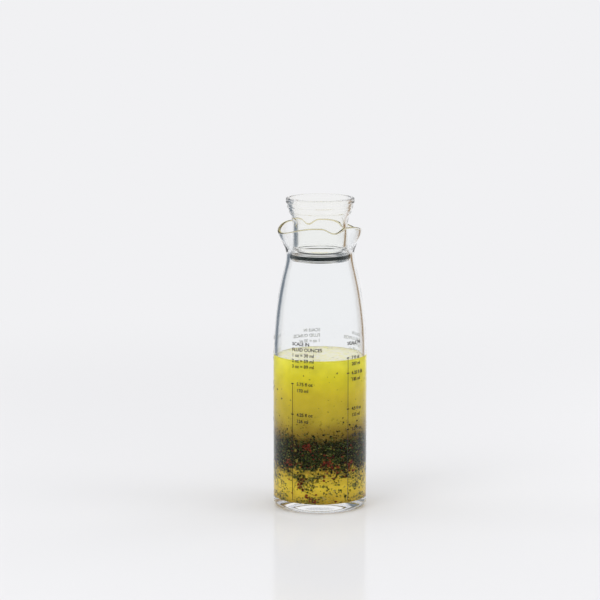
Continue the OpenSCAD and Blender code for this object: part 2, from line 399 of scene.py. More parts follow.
def clear_material(name, tint, ior, wave, wave_depth, roughness):
    """A clear solid that bends light, with faint waves in its surface. Reflections seen head on are dimmed, as in a
    room that is dark behind the viewer, and stay bright along the edges. Lamps reach through it, as they do through
    clear glass, so that what is inside is lit."""
    material, out = new_material(name)
    tree = material.node_tree
    point = object_point(tree)
    waves = noise(tree, point, wave, 1.0)
    bump = add(tree, "Bump", Strength=1.0, Distance=wave_depth, Height=waves)
    solid = add(
        tree,
        "BsdfPrincipled",
        Base_Color=tint,
        Roughness=roughness,
        IOR=ior,
        Transmission_Weight=1.0,
        Specular_Tint=(0.12, 0.12, 0.12, 1),
        Normal=bump.outputs["Normal"],
    )
    through = add(tree, "BsdfTransparent")
    path = add(tree, "LightPath")
    both = add(
        tree, "MixShader", in0=path.outputs["Is Shadow Ray"], in1=solid.outputs[0], in2=through.outputs[0]
    )
    tree.links.new(both.outputs[0], out.inputs["Surface"])
    return material


def blown_glass(tint):
    """Soda-lime glass, blown and fire-polished: almost colourless, with slow waves about 9 mm long in its surface
    that bend what is seen through it a little."""
    return clear_material("blown_soda_lime_glass", tint, 1.52, 9 * MM, 0.035 * MM, 0.0)


def polished_rim(tint):
    """The fire-polished edge of the collar, which gathers the amber of the glass along its whole length."""
    return clear_material("fire_polished_amber_rim", tint, 1.52, 3 * MM, 0.03 * MM, 0.08)


def moulded_acrylic(tint):
    """Clear acrylic, injection moulded and glossy, with faint flow marks about 8 mm long."""
    return clear_material("moulded_clear_acrylic", tint, 1.49, 8 * MM, 0.015 * MM, 0.01)


def moulded_silicone(tint):
    """Silicone rubber, moulded: charcoal, satin, with a fine grain of about 0.25 mm and a trace of oil on it."""
    material, out = new_material("moulded_charcoal_silicone")
    tree = material.node_tree
    point = object_point(tree)
    grain = noise(tree, point, 0.25 * MM, 3.0)
    film = noise(tree, point, 6 * MM, 2.0)
    tone = mix_colour(tree, film, tint, hex_colour("#232A28"))
    rough = add(tree, "MapRange", Value=film, To_Min=0.34, To_Max=0.6).outputs[0]
    bump = add(tree, "Bump", Strength=0.4, Distance=0.03 * MM, Height=grain)
    solid = add(tree, "BsdfPrincipled", Base_Color=tone, Roughness=rough, IOR=1.41, Normal=bump.outputs["Normal"])
    solid.inputs["Specular IOR Level"].default_value = 0.25
    tree.links.new(solid.outputs[0], out.inputs["Surface"])
    return material


def dressing_material(name, f, gloss_and_painted_sheen):
    """The dressing as seen through the glass: golden vinegar below, a dark raft of herbs, cloudy oil and clear oil on
    top. The tone follows the height, pushed up and down by noise of 14 and 5 mm. In the raft and in the clumps that
    hang under it, cells of 1.1 mm take the tones of single flakes, with red ones among them. The open surface has a
    painted sheen: a pale reflection of the surroundings is mixed into its colour, mottled by 2.5 mm."""
    material, out = new_material(name)
    tree = material.node_tree
    point = object_point(tree)
    z = add(tree, "SeparateXYZ", Vector=point).outputs["Z"]
    broad = noise(tree, point, 14 * MM, 2.0)
    fine = noise(tree, point, 5 * MM, 3.0)
    push = math_node(tree, "ADD", math_node(tree, "MULTIPLY", broad, 6 * MM), math_node(tree, "MULTIPLY", fine, 5 * MM))
    level = math_node(tree, "SUBTRACT", math_node(tree, "ADD", z, push), 5.5 * MM)
    share = math_node(tree, "DIVIDE", level, 100 * MM, clamp=True)
    liquid = ramp(
        tree,
        share,
        [
            (0.05, hex_colour("#BE9C36")),
            (0.1, hex_colour("#DABB40")),
            (0.16, f.vinegar),
            (0.27, hex_colour("#D0B03E")),
            (0.31, hex_colour("#756326")),
            (0.36, f.herb),
            (0.43, hex_colour("#473919")),
            (0.475, hex_colour("#7F692B")),
            (0.52, hex_colour("#A38B34")),
            (0.6, f.cloudy_oil),
            (0.74, hex_colour("#D9C63C")),
            (0.86, hex_colour("#E7DC3A")),
            (0.95, f.oil),
        ],
    )
    cells = add(tree, "TexVoronoi", {"feature": "F1"}, Vector=point, Scale=1 / (1.1 * MM), Randomness=1.0)
    pick = add(tree, "SeparateColor", Color=cells.outputs["Color"])
    leaf = ramp(
        tree,
        pick.outputs["Red"],
        [
            (0.0, hex_colour("#15130A")),
            (0.3, hex_colour("#211E0F")),
            (0.5, hex_colour("#263318")),
            (0.7, hex_colour("#3A5128")),
            (0.84, hex_colour("#5E6C36")),
            (0.92, hex_colour("#52241A")),
            (1.0, hex_colour("#8A3428")),
        ],
    )
    raft_low = add(tree, "MapRange", Value=level, From_Min=23.5 * MM, From_Max=28.5 * MM)
    raft_high = add(tree, "MapRange", Value=level, From_Min=48.5 * MM, From_Max=41.5 * MM)
    raft = math_node(tree, "MULTIPLY", raft_low.outputs[0], raft_high.outputs[0])
    clump = add(tree, "MapRange", Value=noise(tree, point, 7 * MM, 3.0), From_Min=0.54, From_Max=0.6)
    hanging = add(tree, "MapRange", Value=z, From_Min=11 * MM, From_Max=24 * MM)
    under = add(tree, "MapRange", Value=z, From_Min=27 * MM, From_Max=24 * MM)
    clumps = math_node(tree, "MULTIPLY", clump.outputs[0], hanging.outputs[0])
    clumps = math_node(tree, "MULTIPLY", clumps, under.outputs[0])
    grain = add(tree, "MapRange", Value=pick.outputs["Green"], From_Min=0.25, From_Max=0.35).outputs[0]
    spread = math_node(tree, "MULTIPLY", math_node(tree, "MAXIMUM", raft, clumps), grain)
    specks = add(tree, "MapRange", Value=pick.outputs["Blue"], From_Min=0.93, From_Max=0.95).outputs[0]
    low = add(tree, "MapRange", Value=z, From_Min=66 * MM, From_Max=48 * MM).outputs[0]
    dust = math_node(tree, "MULTIPLY", math_node(tree, "MULTIPLY", specks, low), 0.55)
    tone = mix_colour(tree, math_node(tree, "MAXIMUM", spread, dust), liquid, leaf)
    cloud = add(tree, "MapRange", Value=noise(tree, point, 9 * MM, 4.0), To_Min=0.8, To_Max=1.18).outputs[0]
    tone = mix_colour(tree, 1.0, tone, add(tree, "CombineXYZ", X=cloud, Y=cloud, Z=cloud).outputs[0], "MULTIPLY")
    if gloss_and_painted_sheen:
        # Painted reflection: a pale cream, mottled by 2.5 mm noise, stands in for the bright surroundings mirrored by
        # the open surface.
        film = noise(tree, point, 2.5 * MM, 3.0)
        painted_sheen_share = add(tree, "MapRange", Value=film, From_Min=0.35, From_Max=0.65, To_Min=0.45, To_Max=0.85).outputs[0]
        tone = mix_colour(tree, painted_sheen_share, tone, hex_colour("#F2EEDC"))
    solid = add(
        tree,
        "BsdfPrincipled",
        Base_Color=tone,
        Roughness=0.08 if gloss_and_painted_sheen else 0.9,
        IOR=1.47,
        Specular_IOR_Level=0.5 if gloss_and_painted_sheen else 0.0,
        Subsurface_Weight=0.2,
        Subsurface_Radius=(2.0 * MM, 1.6 * MM, 0.5 * MM),
        Subsurface_Scale=1.0,
    )
    tree.links.new(solid.outputs[0], out.inputs["Surface"])
    return material


def flake_material(name, stops, roughness):
    """Wet chopped leaf or pepper: the tone of each flake is kept in its own attribute, with fine mottling of 0.4 mm."""
    material, out = new_material(name)
    tree = material.node_tree
    tone = add(tree, "Attribute", {"attribute_name": "tone"}).outputs["Fac"]
    mottle = noise(tree, object_point(tree), 0.4 * MM, 2.0)
    shade = math_node(tree, "ADD", tone, math_node(tree, "MULTIPLY", math_node(tree, "SUBTRACT", mottle, 0.5), 0.3))
    tint = ramp(tree, shade, stops)
    bump = add(tree, "Bump", Strength=0.5, Distance=0.1 * MM, Height=mottle)
    solid = add(tree, "BsdfPrincipled", Base_Color=tint, Roughness=roughness, IOR=1.4, Normal=bump.outputs["Normal"])
    solid.inputs["Specular IOR Level"].default_value = 0.1
    tree.links.new(solid.outputs[0], out.inputs["Surface"])
    return material


def screen_ink(tint):
    """Enamel ink, screen printed on the glass: near black, matt, a little thin in places about 0.6 mm across. Its
    underside, which shows through the glass from the far side of the bottle, is pale grey."""
    material, out = new_material("screen_printed_ink")
    tree = material.node_tree
    thin = noise(tree, object_point(tree), 0.6 * MM, 2.0)
    worn = add(tree, "MapRange", Value=thin, From_Min=0.5, From_Max=0.8).outputs[0]
    tone = mix_colour(tree, worn, tint, hex_colour("#4A4741"))
    normal = add(tree, "TexCoord").outputs["Normal"]
    facing = add(tree, "VectorMath", {"operation": "DOT_PRODUCT"}, in0=object_point(tree), in1=normal).outputs["Value"]
    under = math_node(tree, "LESS_THAN", facing, 0.0)
    tone = mix_colour(tree, under, tone, hex_colour("#CBCDCF"))
    solid = add(tree, "BsdfPrincipled", Base_Color=tone, Roughness=0.6, Specular_IOR_Level=0.12)
    tree.links.new(solid.outputs[0], out.inputs["Surface"])
    return material


# Sections and shapes of the pieces


def glass_section(s, phi):
    """Radius and height of the glass along its section at each angle phi, as two grids, and the steps that belong to
    the rim. The section runs from the middle of the hollow out over the foot, up the outside, over the rim, down the
    inside and over the floor to the axis."""
    lip, sag = lip_shape(s, phi)
    rim_r = s.collar_wall / 2
    top = GLASS_HIGH[2] - rim_r - s.lip_dip * lip - s.side_dip * sag
    neck_top = s.shoulder_z + s.shoulder_h + s.neck_h
    x = np.linspace(0, s.punt_r - s.foot_r, 14)
    hollow = np.column_stack([x, dome(x, s.punt_r, s.punt_h)])
    foot = arc(s.punt_r + 0.6 * s.foot_r, s.foot_r, s.foot_r, -125, -90, 5)
    heel = arc(s.body_r - s.heel_r, s.heel_r, s.heel_r, -90, 0, 12)
    straight = line(s.body_r, s.heel_r + 2 * MM, s.body_r, s.shoulder_z, 12)
    z = np.linspace(s.shoulder_z, neck_top, 46)[:-1]
    shoulder = np.column_stack([outer_radius(s, z), z])
    outside = np.vstack([hollow, foot, heel, straight, shoulder])
    inner_z = z[::-1]
    bore = np.column_stack([outer_radius(s, inner_z) - s.wall, inner_z])
    inner_straight = line(s.body_r - s.wall, s.shoulder_z - 2 * MM, s.body_r - s.wall, s.floor_t + s.corner_r, 12)
    corner = arc(s.body_r - s.wall - s.corner_r, s.floor_t + s.corner_r, s.corner_r, 0, -90, 12)
    corner_x = s.body_r - s.wall - s.corner_r
    x = np.linspace(corner_x, 0, 14)[1:]
    floor = np.column_stack([x, s.floor_t + dome(x, corner_x, s.punt_h)])
    inside = np.vstack([bore, inner_straight, corner, floor])
    share = np.linspace(0, 1, 34)
    z_up = neck_top + (top[:, None] - neck_top) * share[None, :]
    r_up = collar_radius(s, z_up, lip[:, None])
    bend = np.radians(np.linspace(0, 180, 11)[1:-1])
    r_rim = r_up[:, -1:] - rim_r + rim_r * np.cos(bend)[None, :]
    z_rim = top[:, None] + rim_r * np.sin(bend)[None, :]
    thick = s.wall + (s.collar_wall - s.wall) * share[None, :]
    r_down, z_down = (r_up - thick)[:, ::-1], z_up[:, ::-1]
    flat = lambda points, i: np.repeat(points[None, :, i], len(phi), axis=0)
    radii = np.hstack([flat(outside, 0), r_up, r_rim, r_down, flat(inside, 0)])
    heights = np.hstack([flat(outside, 1), z_up, z_rim, z_down, flat(inside, 1)])
    rim_from = len(outside) + r_up.shape[1]
    rim_to = rim_from + r_rim.shape[1] - 1
    return radii, heights, (rim_from, rim_to)


def stopper_section(s):
    """Section of the stopper from the axis: plug, groove, waist, taper with two raised rings, banded rim, and the
    inside of the cup. The taper eases from the waist to the band, and each raised ring is a squared cosine."""
    bottom, top = CUP_LOW[2], CUP_HIGH[2]
    seal_h = SEAL_HIGH[2] - SEAL_LOW[2] + 0.1 * MM
    upper = s.flange_h + seal_h
    plug_h = upper + s.flange_h
    bevel = s.flange_h / 2
    waist_z = plug_h + (s.flange_r - s.waist_r) * 1.5
    band_z = top - bottom - s.band_h
    taper_z = band_z - s.taper_h
    taper_top = s.rim_r - s.band_step
    edge = s.wall / 3

    def taper(z):
        return s.waist_r + (taper_top - s.waist_r) * ease((z - taper_z) / s.taper_h)

    z = np.linspace(taper_z, band_z, 60)
    ridges = sum(
        np.where(abs(z - ring) < s.ring_w / 2, np.cos(math.pi * (z - ring) / s.ring_w) ** 2, 0)
        for ring in (band_z - 0.15 * s.taper_h, band_z - 0.43 * s.taper_h)
    )
    r, h = s.rim_r, top - bottom
    tiny = 0.12 * MM
    parts = [
        line(0, 0, s.flange_r - bevel, 0, 6),
        line(s.flange_r - bevel, 0, s.flange_r, bevel, 3),
        line(s.flange_r, bevel, s.flange_r, s.flange_h - tiny, 2),
        line(s.flange_r, s.flange_h - tiny, s.flange_r - tiny, s.flange_h, 1),
        line(s.flange_r - tiny, s.flange_h, s.groove_r, s.flange_h, 2),
        line(s.groove_r, s.flange_h, s.groove_r, upper, 3),
        line(s.groove_r, upper, s.flange_r - tiny, upper, 2),
        line(s.flange_r - tiny, upper, s.flange_r, upper + tiny, 1),
        line(s.flange_r, upper + tiny, s.flange_r, plug_h - tiny, 2),
        line(s.flange_r, plug_h - tiny, s.waist_r, waist_z, 4),
        line(s.waist_r, waist_z, s.waist_r, taper_z, 8),
        np.column_stack([taper(z) + s.ring_relief * ridges, z])[:-1],
        line(taper_top, band_z, r, band_z + s.band_step, 4),
        line(r, band_z + s.band_step, r, h - edge, 4),
        arc(r - edge, h - edge, edge, 0, 90, 7),
        arc(r - s.wall + edge, h - edge, edge, 90, 180, 7),
        np.column_stack([taper(z) - s.wall, z])[::-2],
        line(s.waist_r - s.wall, taper_z - MM, s.waist_r - s.wall, s.floor_t + s.wall, 8),
        arc(s.waist_r - 2 * s.wall, s.floor_t + s.wall, s.wall, 0, -90, 8),
        line(s.waist_r - 2 * s.wall - MM, s.floor_t, 0, s.floor_t, 5),
        np.array([[0, s.floor_t]]),
    ]
    section = np.vstack(parts)
    return section + np.array([[0, bottom]])


def seal_section(s):
    """Closed section of the seal ring: two soft ribs on the outside, 0.15 mm high, and rounded corners."""
    low, high = SEAL_LOW[2], SEAL_HIGH[2]
    inner, outer = s.groove_r + 0.05 * MM, SEAL_HIGH[0]
    edge = 0.3 * MM
    z = np.linspace(low + edge, high - edge, 17)
    ribs = 0.12 * MM * (1 - np.cos(4 * math.pi * (z - low - edge) / (high - low - 2 * edge))) / 2
    face = np.column_stack([outer - 0.12 * MM + ribs, z])
    return np.vstack(
        [
            line(inner, low, outer - 0.12 * MM - edge, low, 4),
            arc(outer - 0.12 * MM - edge, low + edge, edge, -90, -10, 4),
            face,
            arc(outer - 0.12 * MM - edge, high - edge, edge, 10, 90, 4),
            line(outer - 0.12 * MM - edge - 0.2 * MM, high, inner, high, 3),
            line(inner, high, inner, low, 4),
        ]
    )


def wetted_radius(s, wetting, z):
    """Radius of the dressing's side at height z: the inside of the glass, and a little way into it."""
    corner_z = s.floor_t + s.corner_r
    drop = np.clip(corner_z - z, 0, s.corner_r)
    return outer_radius(s, z) - s.wall - s.corner_r + np.sqrt(s.corner_r**2 - drop**2) + wetting


def dressing_section(s, d, low, high, floor, surface):
    """Section of one layer from the axis at its bottom to the axis at its top. The lowest layer follows the domed
    floor and its corner, and the top layer ends in a surface that climbs at the glass."""
    corner_x = s.body_r - s.wall - s.corner_r
    if floor:
        x = np.linspace(0, corner_x, 14)[:-1]
        bottom = np.column_stack([x, s.floor_t + dome(x, corner_x, s.punt_h) + d.lift])
        turn = np.linspace(-90, 0, 19)
        reach = s.corner_r - d.lift + (d.lift + d.wetting) * ease((turn + 82) / 12)
        corner = np.column_stack([reach * np.cos(np.radians(turn)), reach * np.sin(np.radians(turn))])
        start = np.vstack([bottom, corner + [[corner_x, s.floor_t + s.corner_r]]])
        z = np.linspace(s.floor_t + s.corner_r, high, 14)[1:]
    else:
        start = line(0, low, wetted_radius(s, d.wetting, low), low, 10)
        z = np.linspace(low, high, 30)
    side = np.column_stack([wetted_radius(s, d.wetting, z), z])
    x = np.linspace(side[-1, 0], 0, 26)[1:]
    top = np.column_stack([x, np.full_like(x, high)])
    if surface:
        top[:, 1] -= d.meniscus * (1 - np.exp(-(side[-1, 0] - x) / (1.6 * MM)))
    return np.vstack([start, side, top]), len(start) + len(side)


def flakes(centres, normals, sizes_m, thickness, seed, points=7):
    """Vertices and triangles of many flat irregular flakes, each a lens of two points and a ragged rim. A flake's rim
    radii and heights are random, so that it curls, and its plane is square to its normal."""
    rng = np.random.default_rng(seed)
    count = len(centres)
    helper = np.where(np.abs(normals[:, 2:3]) < 0.9, [[0.0, 0.0, 1.0]], [[1.0, 0.0, 0.0]])
    u = np.cross(normals, helper)
    u /= np.linalg.norm(u, axis=1)[:, None]
    v = np.cross(normals, u)
    turn = rng.uniform(0, 2 * math.pi, count)[:, None]
    angle = turn + np.linspace(0, 2 * math.pi, points, endpoint=False)[None, :] + rng.uniform(-0.25, 0.25, (count, points))
    stretch = rng.uniform(0.45, 1.0, count)[:, None]
    radius = sizes_m[:, None] / 2 * rng.uniform(0.6, 1.15, (count, points))
    a, b = radius * np.cos(angle), radius * np.sin(angle) * stretch
    lift = sizes_m[:, None] * rng.uniform(-0.12, 0.12, (count, points))
    rim = centres[:, None] + a[..., None] * u[:, None] + b[..., None] * v[:, None] + lift[..., None] * normals[:, None]
    half = thickness[:, None] / 2
    verts = np.concatenate([rim, (centres + half * normals)[:, None], (centres - half * normals)[:, None]], axis=1)
    base = (np.arange(count) * (points + 2))[:, None]
    k = np.arange(points)[None, :]
    k2 = (k + 1) % points
    upper = np.stack([base + k, base + k2, np.broadcast_to(base + points, (count, points))], axis=2)
    lower = np.stack([base + k2, base + k, np.broadcast_to(base + points + 1, (count, points))], axis=2)
    return verts.reshape(-1, 3), np.concatenate([upper, lower], axis=1).reshape(-1, 3)


def add_tone(piece, tones, per_flake):
    """Keeps each flake's tone as an attribute on its points."""
    attribute = piece.data.attributes.new("tone", "FLOAT", "POINT")
    attribute.data.foreach_set("value", np.repeat(tones, per_flake).astype(np.float32))


def wall_spots(s, d, z, phi, depth):
    """Points on the inside of the glass at heights z and angles phi, sunk by depth, and their outward normals."""
    r = wetted_radius(s, d.wetting, z) - depth
    normals = np.column_stack([np.cos(phi), np.sin(phi), np.zeros_like(phi)])
    return np.column_stack([r * np.cos(phi), r * np.sin(phi), z]), normals


def clump_noise(phi, z, seed):
    """Smooth noise from 0 to 1 round the wall: the mean of a few waves with random turns and phases."""
    rng = np.random.default_rng(seed)
    total = np.zeros_like(phi)
    waves = 9
    for i in range(waves):
        turns = rng.integers(2, 13)
        pitch = rng.uniform(6, 22) * MM
        total += np.sin(turns * phi + 2 * math.pi * z / pitch * rng.choice([-1, 1]) + rng.uniform(0, 2 * math.pi))
    return 0.5 + 0.5 * np.tanh(total / math.sqrt(waves) * 1.1)


def wrap(s, points, phi):
    """Flat points (along, up, out) bent round the body: along becomes an angle, and out adds to the radius there."""
    a = phi + points[:, 0] / s.body_r
    r = outer_radius(s, points[:, 1]) + points[:, 2]
    return np.column_stack([r * np.cos(a), r * np.sin(a), points[:, 1]])


def block(x0, x1, z0, z1, ink, steps):
    """Closed thin block of ink from x0 to x1 and z0 to z1, cut into steps along its length so that it can bend."""
    x = np.linspace(x0, x1, steps + 1)
    loop = np.array([[z0, 0], [z1, 0], [z1, ink], [z0, ink]])
    verts = np.concatenate([np.column_stack([np.full(4, value), loop]) for value in x])
    k, j = np.meshgrid(np.arange(steps), np.arange(4), indexing="ij")
    j2 = (j + 1) % 4
    quads = np.stack([k * 4 + j, k * 4 + j2, (k + 1) * 4 + j2, (k + 1) * 4 + j], axis=2).reshape(-1, 4)
    ends = np.array([[3, 2, 1, 0], [steps * 4, steps * 4 + 1, steps * 4 + 2, steps * 4 + 3]])
    quads = np.vstack([quads, ends])
    tris = np.vstack([quads[:, [0, 1, 2]], quads[:, [0, 2, 3]]])
    return verts, tris


def figures(text, height, ink):
    """Closed mesh of printed figures, as points (along, up, out) from their lower left corner, and triangles."""
    curve = bpy.data.curves.new("figures", "FONT")
    curve.body = text
    curve.size = height / 0.7
    curve.resolution_u = 3
    curve.offset = 0.035 * height
    curve.extrude = ink / 2
    holder = bpy.data.objects.new("figures", curve)
    bpy.context.scene.collection.objects.link(holder)
    bpy.context.view_layer.update()
    evaluated = holder.evaluated_get(bpy.context.evaluated_depsgraph_get())
    mesh = evaluated.to_mesh()
    mesh.calc_loop_triangles()
    verts = np.empty(len(mesh.vertices) * 3, np.float32)
    mesh.vertices.foreach_get("co", verts)
    tris = np.empty(len(mesh.loop_triangles) * 3, np.int32)
    mesh.loop_triangles.foreach_get("vertices", tris)
    evaluated.to_mesh_clear()
    bpy.data.objects.remove(holder)
    bpy.data.curves.remove(curve)
    verts = verts.reshape(-1, 3)
    verts[:, 2] += ink / 2
    return verts.astype(float), tris.reshape(-1, 3)


# Operators


def deliver(operator, piece, body, slot=None, *nodes):
    """Lets a finished piece ride on its body and stand for its nodes. The slot is not used."""
    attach(piece, body)
    if nodes:
        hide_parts(*nodes)
    operator.report({"INFO"}, f"made {piece.name}")


class BOTTLE_OT_glass(bpy.types.Operator):
    """Blow the glass: body, shoulder, neck and the wavy collar with its two lips"""

    bl_idname = "bottle.glass"
    bl_label = "Glass"

    def execute(self, context):
        s, f = sizes("bottle_glass_sizes"), sizes("bottle_finishes")
        columns = 216
        angles = even_angles(columns)
        radii, heights, (rim_from, rim_to) = glass_section(s, angles)
        verts, quads, tris = closed_surface(radii, heights, angles)
        row = np.tile(np.arange(radii.shape[1] - 3), columns) + 1
        slots = np.concatenate([(row >= rim_from) & (row < rim_to), np.zeros(len(tris), bool)]).astype(int)
        materials = [blown_glass(f.glass), polished_rim(f.rim)]
        piece = make_piece("glass_bottle", verts, quads, tris, materials, slots)
        deliver(self, piece, "bottle", "clear_glass", "bottle_glass")
        return {"FINISHED"}


class BOTTLE_OT_stopper(bpy.types.Operator):
    """Mould the hollow stopper"""

    bl_idname = "bottle.stopper"
    bl_label = "Stopper"

    def execute(self, context):
        f = sizes("bottle_finishes")
        section = stopper_section(sizes("bottle_stopper_sizes"))
        piece = revolve("clear_stopper", section, 192, [moulded_acrylic(f.acrylic)])
        deliver(self, piece, "stopper", "clear_acrylic", "stopper_cup")
        return {"FINISHED"}


class BOTTLE_OT_seal(bpy.types.Operator):
    """Mould the seal ring and seat it in the stopper's groove"""

    bl_idname = "bottle.seal"
    bl_label = "Seal ring"

    def execute(self, context):
        f = sizes("bottle_finishes")
        section = seal_section(sizes("bottle_stopper_sizes"))
        piece = revolve("seal_ring", section, 192, [moulded_silicone(f.silicone)])
        deliver(self, piece, "stopper", "charcoal_silicone", "stopper_seal")
        return {"FINISHED"}


class BOTTLE_OT_dressing(bpy.types.Operator):
    """Pour the three layers of the dressing"""

    bl_idname = "bottle.dressing"
    bl_label = "Dressing"

    def execute(self, context):
        s, d, f = sizes("bottle_glass_sizes"), sizes("bottle_dressing_sizes"), sizes("bottle_finishes")
        self.bubbles(s, d)
        levels = [0, VINEGAR_HIGH[2], HERB_HIGH[2], OIL_HIGH[2]]
        names = ["golden_vinegar", "herb_raft", "yellow_oil"]
        nodes = ["vinegar_layer", "herb_layer", "oil_layer"]
        slots = ["golden_vinegar", "chopped_herbs", "yellow_oil"]
        for i, name in enumerate(names):
            section, side_end = dressing_section(s, d, levels[i], levels[i + 1], i == 0, i == 2)
            materials = [dressing_material(name + "_in_glass", f, False)]
            faces = None
            if i == 2:
                materials.append(dressing_material("open_oil_surface", f, True))
                row = np.tile(np.arange(len(section) - 3), 192) + 1
                start, end = np.zeros(192, bool), np.ones(192, bool)
                faces = np.concatenate([row >= side_end - 1, start, end]).astype(int)
            piece = revolve(name, section, 192, materials, faces)
            deliver(self, piece, "bottle", slots[i], nodes[i])
        return {"FINISHED"}


    def bubbles(self, s, d):
        """Small bubbles left by shaking, most of them gathered at the glass. Each is a flat-bottomed cap of a ball."""
        rng = np.random.default_rng(41)
        count = d.bubble_count
        bend = np.radians([90, 60, 30, 0])
        cap = np.column_stack([np.cos(bend), np.sin(bend) * 0.6])
        radii, heights = cap[:, 0], cap[:, 1]
        section = np.vstack([cap, [[0, -0.3]]])
        radii = np.repeat(section[None, :, 0], 10, axis=0)
        heights = np.repeat(section[None, :, 1], 10, axis=0)
        verts, quads, tris = closed_surface(radii, heights, even_angles(10))
        size = np.clip(rng.gamma(3.0, 0.14, count), 0.2, 1.2) * MM
        edge = wetted_radius(s, 0, OIL_HIGH[2]) - 1.2 * MM
        r = np.where(rng.uniform(0, 1, count) < 0.7, edge - rng.exponential(1.2, count) * MM, edge * np.sqrt(rng.uniform(0, 1, count)))
        r = np.clip(r, 0, edge)
        phi = rng.uniform(0, 2 * math.pi, count)
        level = OIL_HIGH[2] - d.meniscus * (1 - np.exp(-(edge + 1.2 * MM - r) / (1.6 * MM)))
        centres = np.column_stack([r * np.cos(phi), r * np.sin(phi), level])
        all_verts = (centres[:, None] + verts[None] * size[:, None, None]).reshape(-1, 3)
        shift = (np.arange(count) * len(verts))[:, None, None]
        quads, tris = (quads[None] + shift).reshape(-1, 4), (tris[None] + shift).reshape(-1, 3)
        tint = hex_colour("#FBF7DC")
        material = clear_material("thin_oil_bubbles", tint, 1.2, 3 * MM, 0.001 * MM, 0.02)
        piece = make_piece("surface_bubbles", all_verts, quads, tris, [material])
        deliver(self, piece, "bottle", "yellow_oil")


class BOTTLE_OT_herbs(bpy.types.Operator):
    """Chop the herbs and the chilli, and float them against the glass"""

    bl_idname = "bottle.herbs"
    bl_label = "Herbs and chilli"

    def execute(self, context):
        s, d, f = sizes("bottle_glass_sizes"), sizes("bottle_dressing_sizes"), sizes("bottle_finishes")
        self.herbs(s, d)
        self.chilli(s, d, f)
        return {"FINISHED"}

    def herbs(self, s, d):
        """Flakes are drawn at random over the wall and kept by a density: full in the raft, ragged clumps that hang
        under it, a few along the floor, and a rare one in the oil."""
        rng = np.random.default_rng(11)
        tries = d.herb_count * 4
        z = rng.uniform(s.floor_t + 0.5 * MM, 90 * MM, tries)
        phi = rng.uniform(0, 2 * math.pi, tries)
        clump = clump_noise(phi, z, 5)
        edge = (clump_noise(phi, z * 0, 8) - 0.5) * 7 * MM
        low, high = 25.3 * MM, 39.7 * MM
        raft = ease((z + edge - low) / (5 * MM)) * (1 - ease((z - edge * 0.6 - high) / (13 * MM)))
        hanging = np.where(z < 29 * MM, ease((clump - 0.5) / 0.2) * ease((z - 8 * MM) / (16 * MM)), 0)
        floor = np.where(z < 11 * MM, 0.6 * ease((clump_noise(phi, z * 0, 21) - 0.35) / 0.3), 0)
        rare = 0.007 + 0.06 * ease((66 * MM - z) / (20 * MM))
        keep = rng.uniform(0, 1, tries) < np.maximum.reduce([raft, hanging, floor, rare])
        z, phi = z[keep][: d.herb_count], phi[keep][: d.herb_count]
        count = len(z)
        size = rng.gamma(5.0, 0.23, count) * MM
        size = np.clip(size, 0.45 * MM, 2.6 * MM) * np.where(z > 50 * MM, 0.75, 1.0)
        depth = rng.uniform(-0.28, 0.12, count) * MM
        depth = np.where(z > 48 * MM, -abs(depth) - 0.05 * MM, depth)
        centres, normals = wall_spots(s, d, z, phi, depth)
        normals += rng.normal(0, 0.28, (count, 3))
        normals /= np.linalg.norm(normals, axis=1)[:, None]
        verts, tris = flakes(centres, normals, size, rng.uniform(0.1, 0.3, count) * MM, 12)
        stops = [
            (0.0, hex_colour("#120F07")),
            (0.3, hex_colour("#1F1F0C")),
            (0.5, hex_colour("#303B14")),
            (0.7, hex_colour("#525F24")),
            (0.85, hex_colour("#8C8238")),
            (1.0, hex_colour("#B8A454")),
        ]
        material = flake_material("wet_chopped_parsley", stops, 0.5)
        piece = make_piece("herb_flakes", verts, np.zeros((0, 4), int), tris, [material], smooth=False)
        add_tone(piece, np.clip(rng.beta(1.6, 2.4, count) + np.where(z < 25 * MM, 0.34, 0.0), 0, 1), 9)
        deliver(self, piece, "bottle", "chopped_herbs")

    def chilli(self, s, d, f):
        """Thicker pieces, most of them in and just under the raft, a few by the floor."""
        rng = np.random.default_rng(31)
        count = d.chilli_count
        low = rng.uniform(0, 1, count) < 0.3
        z = np.where(low, rng.uniform(6, 22, count), rng.normal(31, 5.5, count)) * MM
        phi = rng.uniform(0, 2 * math.pi, count)
        seen = np.array([[-18.6, 41.5], [-43.4, 30.7], [8, 33.5], [17.5, 27.2], [42, 29.6], [-25.9, 19.2], [-9.9, 8.0]])
        places = np.repeat(seen, 20, axis=0)
        z = np.concatenate([z, places[:, 1] * MM + rng.normal(0, 1.8, len(places)) * MM])
        phi = np.concatenate([phi, FRONT + np.radians(places[:, 0] + rng.normal(0, 4.0, len(places)))])
        z = np.clip(z, s.floor_t + 2 * MM, 50 * MM)
        count = len(z)
        size = rng.uniform(0.8, 2.3, count) * MM
        centres, normals = wall_spots(s, d, z, phi, rng.uniform(-0.35, -0.1, count) * MM)
        normals += rng.normal(0, 0.2, (count, 3))
        normals /= np.linalg.norm(normals, axis=1)[:, None]
        verts, tris = flakes(centres, normals, size, rng.uniform(0.3, 0.6, count) * MM, 32, points=9)
        stops = [(0.0, hex_colour("#3E1510")), (0.5, f.chilli), (1.0, hex_colour("#A0522E"))]
        material = flake_material("chopped_red_chilli", stops, 0.35)
        piece = make_piece("chilli_flakes", verts, np.zeros((0, 4), int), tris, [material], smooth=False)
        add_tone(piece, rng.uniform(0.1, 0.9, count), 11)
        deliver(self, piece, "bottle", "chopped_herbs")


